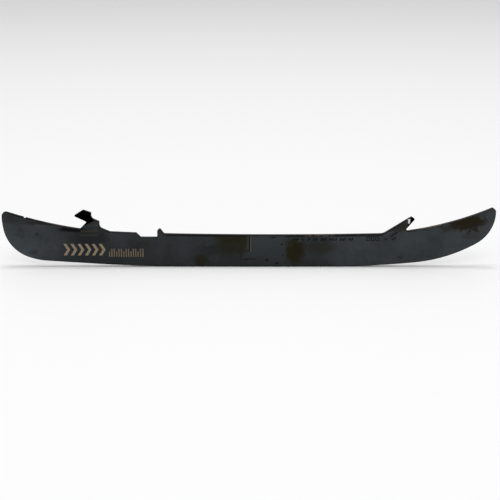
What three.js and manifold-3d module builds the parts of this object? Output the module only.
// A replacement runner for an ice hockey skate: one strip of coated stainless steel, cut to its profile,
// ground flat on both sides, with two hooks that hold it up inside the skate's holder.
//
// Millimetres. X runs from the toe back to the tail, Y across the thickness and Z up from the ice.
// The origin is on the ice, under the middle of the runner's length and thickness.

import * as THREE from 'three';
import { mergeVertices } from 'three/addons/utils/BufferGeometryUtils.js';
import Module from 'manifold-3d';

// ---------------------------------------------------------------------------------------------------
// Driving sizes

const runnerLength = 288;
const thickness = 3;
const toeHeight = 33.7; // ice to the toe's top corner, before it is rounded
const tailHeight = 35.3; // ice to the tail's top corner, before it is rounded
const seatHeight = 19.05; // ice to the lowest point of the seat, which bears on the holder

// The running edge. Both ends start from the pivot, its lowest point, with a long glide arc.
const pivotSetback = 7.8; // behind the middle of the length
const hollowRadius = 15.9; // of the groove ground along the edge
const toeGlideRadius = 3470;
const tailGlideRadius = 3970;

// Each bend beyond the glide: its radius, and the slope in degrees that it ends at.
const toeBends = [
  { radius: 615, slope: 3.6, straight: 30.6 },
  { radius: 39, slope: 21 },
  { radius: 21.6, slope: 79 },
  { radius: 45, slope: 90 },
];
const tailBends = [
  { radius: 500, slope: 5.7 },
  { radius: 88.5, slope: 30 },
  { radius: 21.4, slope: 90 },
];

// The top edge
const toeTopRadius = 257;
const seatRadius = 3000;
const tailTopRadius = 194;
const toeCornerRound = 2.2;
const toeRoundReach = 1.4; // how far down that rounding starts, for each millimetre of its radius
const tailCornerCut = { back: 1.7, drop: 1.4 }; // the clipped corner at the top of the tail
const tailEndRound = 0.6;
const frontHookSetback = 45.35; // toe tip to the inner corner of the front hook's notch
const frontHookRise = 2.95; // of that corner, above the ends of the seat
const toothSetback = 90.5; // toe tip to the upright face of the latch tooth
const rearHookSetback = 65.3; // tail tip to the foot of the rear hook

// The latch recess and its tooth, from the foot of the tooth's upright face at seat level
const recessLength = 9.8;
const recessDepth = 2.1;
const rampRun = 2.6;
const rampTopRise = 0.5; // the land before the recess is a little higher than the seat
const toothHeight = 3.4;
const toothFaceHeight = 1.75;
const toothTopSetback = 1.4;
const toothWidth = 3.9;

// The edges: the ground faces stop short of the cut edges, which roll over to meet them.
const edgeRoll = 0.15;
const hookRoll = 0.35; // the narrow hooks rolled over more as they were cut
const rollSlope = 0.4; // depth of the roll for each millimetre of its width

// The hook heads are relieved on both faces, so that they slide into the holder. The relieved areas are
// given as corners [x, z] in the side view, from the same base points as the hooks.
const headRelief = 0.4; // deep on each face
const frontReliefRun = 0.5; // width of the slope down to the relieved face
const frontReliefArea = [[3, 2.75], [12, 7.55], [12, 15], [-8, 15], [-8, 6]];
const rearReliefRun = 1.1;
const rearReliefArea = [[15.2, 4], [24, 4], [24, 14], [16, 14]];

// The nick left in the toe's top edge where the blank was cut free
const nickSetback = 13;
const nickRadius = 0.7;
const nickFacets = 24; // round the whole circle of its cutter

// How far a cutter stands out of the face that it cuts
const cutterExcess = 1;

// Most of an edge that the roundings of its two corners may take together
const roundedShare = 0.98;

// Curves are cut into straight facets that leave the true curve by no more than this.
const facetError = 0.004;

const toeX = -runnerLength / 2;
const tailX = runnerLength / 2;

// ---------------------------------------------------------------------------------------------------
// Drawing in the side view, where a Vector2 is (x, z)

const radians = THREE.MathUtils.degToRad;

/** The points of an arc after its start, which lies on a heading. A positive turn is to the left. */
function arc(start, heading, turn, radius) {
  const side = Math.sign(turn) * radius;
  const centreX = start.x - side * Math.sin(heading);
  const centreZ = start.y + side * Math.cos(heading);
  const largestStep = 2 * Math.acos(1 - facetError / radius);
  const steps = Math.ceil(Math.abs(turn) / largestStep);
  const points = [];
  for (let step = 1; step <= steps; step += 1) {
    const angle = heading + (turn * step) / steps;
    points.push(new THREE.Vector2(centreX + side * Math.sin(angle), centreZ - side * Math.cos(angle)));
  }
  return points;
}

/**
 * The running edge from the pivot out to one end, with x measured from the pivot.
 * The bends keep their size, and the glide arc takes up the rest of the reach.
 */
function runningEdge(reach, glideRadius, bends) {
  let bendsReach = 0;
  let sine = 0;
  for (const bend of bends) {
    const nextSine = Math.sin(radians(bend.slope));
    bendsReach += bend.radius * (nextSine - sine);
    bendsReach += (bend.straight ?? 0) * Math.cos(radians(bend.slope));
    sine = nextSine;
  }
  let heading = Math.asin((reach - bendsReach) / (glideRadius - bends[0].radius));
  const points = arc(new THREE.Vector2(0, 0), 0, heading, glideRadius);
  for (const bend of bends) {
    points.push(...arc(points.at(-1), heading, radians(bend.slope) - heading, bend.radius));
    heading = radians(bend.slope);
    if (bend.straight) {
      const along = new THREE.Vector2(Math.cos(heading), Math.sin(heading));
      points.push(points.at(-1).clone().addScaledVector(along, bend.straight));
    }
  }
  return points;
}

/** The part of an edge that a corner's rounding may take, shared with the corner at its other end. */
function shareOfEdge(length, round, otherRound = 0) {
  return (roundedShare * length * round) / (round + otherRound);
}

/**
 * An outline through corners { x, z, round, arc, roll }. A corner is rounded to the radius round, and
 * the edge that leaves it is straight, or a hollow arc of the radius arc. Each point keeps its roll.
 */
function roundedLine(corners) {
  const edges = corners.slice(1).map((corner, i) => {
    const start = corners[i];
    const chord = new THREE.Vector2(corner.x - start.x, corner.z - start.z);
    const halfTurn = start.arc ? Math.asin(chord.length() / 2 / start.arc) : 0;
    return {
      length: chord.length(),
      startHeading: Math.atan2(chord.y, chord.x) - halfTurn,
      endHeading: Math.atan2(chord.y, chord.x) + halfTurn,
    };
  });
  const points = [];
  const add = (vectors, roll) => points.push(...vectors.map((v) => ({ x: v.x, z: v.y, roll })));
  for (let i = 1; i < corners.length - 1; i += 1) {
    const { x, z, round, roll } = corners[i];
    const [before, after] = [edges[i - 1], edges[i]];
    const heading = before.endHeading;
    let turn = after.startHeading - heading;
    turn -= 2 * Math.PI * Math.round(turn / (2 * Math.PI));
    const room = Math.min(
      shareOfEdge(before.length, round, corners[i - 1].round),
      shareOfEdge(after.length, round, corners[i + 1].round),
    );
    const trim = Math.min(round * Math.tan(Math.abs(turn) / 2), room);
    const radius = trim / Math.tan(Math.abs(turn) / 2);
    const start = new THREE.Vector2(x - trim * Math.cos(heading), z - trim * Math.sin(heading));
    add([start, ...arc(start, heading, turn, radius)], roll);
    if (corners[i].arc) {
      const end = new THREE.Vector2(x, z);
      const sweep = after.endHeading - after.startHeading;
      const along = arc(end, after.startHeading, sweep, corners[i].arc);
      const next = corners[i + 1];
      const clear = (v, corner, margin) => Math.hypot(v.x - corner.x, v.y - corner.z) > margin;
      const free = along.filter((v) => clear(v, corners[i], 2 * trim) && clear(v, next, 2 * next.round));
      add(free, next.roll);
    }
  }
  return points;
}

// ---------------------------------------------------------------------------------------------------
// The outline, clockwise from the toe's top corner: along the top, then back along the running edge

const toothFootX = toeX + toothSetback + toothWidth;
const rearHookX = tailX - rearHookSetback;
const seatHalfSpan = (rearHookX - toothFootX) / 2;
const seatSag = seatRadius - Math.sqrt(seatRadius ** 2 - seatHalfSpan ** 2);
const seatEndHeight = seatHeight + seatSag;

/** Corners given as [x, z, round] from a base point, with the same roll along all of them. */
function cornersFrom(base, roll, offsets) {
  return offsets.map(([x, z, round]) => ({ x: base.x + x, z: base.z + z, round, roll }));
}

const frontHookBase = { x: toeX + frontHookSetback, z: seatEndHeight + frontHookRise };
const rearHookBase = { x: rearHookX, z: seatEndHeight };

function frontHook() {
  return cornersFrom(frontHookBase, hookRoll, [
    [0, 0, 0.35], // inner corner of the notch
    [4.15, 4.25, 0.65], // root of the notch
    [-3.45, 7.9, 0.45], // nose of the hook
    [2.05, 11.35, 0.4], // peak
    [6.7, 9.75, 0.4], // back of the head
    [6.75, 6.45, 2.6], // upper scallop
    [11.3, 4.4, 0.4], // step between the scallops
    [11.35, 0.85, 2.5], // lower scallop
    [17.35, -1.75, 1], // shoulder
  ]);
}

function latchRecess() {
  return cornersFrom({ x: toeX + toothSetback, z: seatEndHeight }, edgeRoll, [
    [-recessLength - rampRun, rampTopRise, 0.7],
    [-recessLength, -recessDepth, 0.9],
    [0, -recessDepth, 0.65],
    [0, toothFaceHeight, 0.4],
    [toothTopSetback, toothHeight, 0.8],
  ]);
}

function rearHook() {
  return cornersFrom(rearHookBase, hookRoll, [
    [0, 0, 6], // foot, which sweeps up from the seat
    [16.35, 10.25, 0.4], // top of the end
    [18.35, 8.85, 0.45], // bottom of the end
    [11.9, 1.4, 1.05], // root of the notch
  ]);
}

/** The stretch of a running edge below the rounding of the corner above it. */
function belowHeight(points, height) {
  return points.filter((point) => point.y < height);
}

function runnerOutline() {
  const toeReach = runnerLength / 2 + pivotSetback;
  const tailReach = runnerLength / 2 - pivotSetback;
  const toeEdge = belowHeight(
    runningEdge(toeReach, toeGlideRadius, toeBends),
    toeHeight - toeCornerRound * toeRoundReach,
  );
  const tailEdge = belowHeight(
    runningEdge(tailReach, tailGlideRadius, tailBends),
    tailHeight - tailCornerCut.drop - tailEndRound,
  );
  const running = [
    ...tailEdge.map((point) => ({ x: pivotSetback + point.x, z: point.y })).reverse(),
    { x: pivotSetback, z: 0 },
    ...toeEdge.map((point) => ({ x: pivotSetback - point.x, z: point.y })),
  ];

  const toeCorner = { x: toeX, z: toeHeight, round: toeCornerRound, arc: toeTopRadius, roll: edgeRoll };
  const toothFoot = { x: toothFootX, z: seatEndHeight, round: 1.2, arc: seatRadius, roll: edgeRoll };
  const hook = rearHook();
  hook.at(-1).arc = tailTopRadius;
  const tailTop = { x: tailX - tailCornerCut.back, z: tailHeight, round: 0.5, roll: edgeRoll };
  const tailEnd = { x: tailX, z: tailHeight - tailCornerCut.drop, round: tailEndRound, roll: edgeRoll };
  const top = roundedLine([
    running.at(-1),
    toeCorner,
    ...frontHook(),
    ...latchRecess(),
    toothFoot,
    ...hook,
    tailTop,
    tailEnd,
    running[0],
  ]);
  return [...top, ...running.map((point) => ({ ...point, ground: true }))];
}

// ---------------------------------------------------------------------------------------------------
// The solid

const half = thickness / 2;

/** How far the wall lies inside the outline, for each place across the thickness: [y, inset]. */
function wallProfile(point) {
  if (point.ground) {
    const rim = Math.sqrt(hollowRadius ** 2 - half ** 2);
    const across = [-1, -2 / 3, -1 / 3, 0, 1 / 3, 2 / 3, 1].map((share) => share * half);
    return across.map((y) => [y, Math.sqrt(hollowRadius ** 2 - y ** 2) - rim]);
  }
  const edge = half - point.roll * rollSlope;
  return [
    [-half, point.roll],
    [-edge, 0],
    [-half / 2, 0],
    [0, 0],
    [half / 2, 0],
    [edge, 0],
    [half, point.roll],
  ];
}

/** For each outline point, the step that moves both of its edges inwards by one millimetre. */
function inwardSteps(outline) {
  const inward = outline.map((point, i) => {
    const next = outline[(i + 1) % outline.length];
    return new THREE.Vector2(next.z - point.z, point.x - next.x).normalize();
  });
  return inward.map((after, i) => {
    const before = inward.at(i - 1);
    return before.clone().add(after).divideScalar(1 + before.dot(after));
  });
}

/** The runner's solid: a row of points across the thickness at each outline point, and two faces. */
function runnerGeometry(outline) {
  const steps = inwardSteps(outline);
  const positions = [];
  for (const [i, point] of outline.entries()) {
    for (const [y, inset] of wallProfile(point)) {
      positions.push(point.x + inset * steps[i].x, y, point.z + inset * steps[i].y);
    }
  }
  const rowLength = wallProfile(outline[0]).length;
  const index = [];
  for (let i = 0; i < outline.length; i += 1) {
    const row = i * rowLength;
    const nextRow = ((i + 1) % outline.length) * rowLength;
    for (let j = 0; j < rowLength - 1; j += 1) {
      index.push(row + j, nextRow + j, nextRow + j + 1);
      index.push(row + j, nextRow + j + 1, row + j + 1);
    }
  }
  const face = outline.map((point, i) => {
    const first = i * rowLength * 3;
    return new THREE.Vector2(positions[first], positions[first + 2]);
  });
  for (const [a, b, c] of THREE.ShapeUtils.triangulateShape(face, [])) {
    const last = rowLength - 1;
    index.push(a * rowLength, b * rowLength, c * rowLength);
    index.push(c * rowLength + last, b * rowLength + last, a * rowLength + last);
  }
  const geometry = new THREE.BufferGeometry();
  geometry.setAttribute('position', new THREE.Float32BufferAttribute(positions, 3));
  geometry.setIndex(index);
  return geometry;
}

/**
 * A cutter that lowers one face (side -1 or 1) by the relief inside an area of the side view, with a
 * slope of the given run all round it.
 */
function reliefCutter(base, area, run, side) {
  const shape = new THREE.Shape(area.map(([x, z]) => new THREE.Vector2(base.x + x, base.z + z)));
  const geometry = new THREE.ExtrudeGeometry(shape, {
    depth: cutterExcess,
    bevelThickness: headRelief,
    bevelSize: run,
    bevelSegments: 1,
  });
  // Drawn in X and Y and raised along Z, it is stood up so that Y becomes the height.
  geometry.rotateX(Math.PI / 2);
  return geometry.translate(0, side < 0 ? -half : half + cutterExcess, 0);
}

function nickCutter(outline) {
  const place = outline.find((point) => point.x > toeX + nickSetback);
  const height = thickness + 2 * cutterExcess;
  const cutter = new THREE.CylinderGeometry(nickRadius, nickRadius, height, nickFacets);
  return cutter.translate(place.x, 0, place.z);
}

// ---------------------------------------------------------------------------------------------------
// Cutting

const wasm = await Module();
wasm.setup();

function toManifold(geometry) {
  const bare = geometry.clone();
  bare.deleteAttribute('normal');
  bare.deleteAttribute('uv');
  const merged = mergeVertices(bare, 1e-5);
  return new wasm.Manifold(
    new wasm.Mesh({
      numProp: 3,
      vertProperties: new Float32Array(merged.attributes.position.array),
      triVerts: new Uint32Array(merged.index.array),
    }),
  );
}

function toGeometry(manifold) {
  const mesh = manifold.getMesh();
  const geometry = new THREE.BufferGeometry();
  geometry.setAttribute('position', new THREE.BufferAttribute(mesh.vertProperties, 3));
  geometry.setIndex(new THREE.BufferAttribute(mesh.triVerts, 1));
  geometry.computeVertexNormals();
  return geometry;
}

function cutRunner() {
  const outline = runnerOutline();
  let solid = toManifold(runnerGeometry(outline));
  for (const side of [-1, 1]) {
    const front = reliefCutter(frontHookBase, frontReliefArea, frontReliefRun, side);
    const rear = reliefCutter(rearHookBase, rearReliefArea, rearReliefRun, side);
    solid = solid.subtract(toManifold(front)).subtract(toManifold(rear));
  }
  return toGeometry(solid.subtract(toManifold(nickCutter(outline))));
}

const coatedSteel = new THREE.MeshStandardMaterial({ color: 0x2e3335, roughness: 0.38, metalness: 0.85 });

const runner = new THREE.Mesh(cutRunner(), coatedSteel);
runner.name = 'runner';

const skateRunner = new THREE.Group();
skateRunner.add(runner);

export default skateRunner;
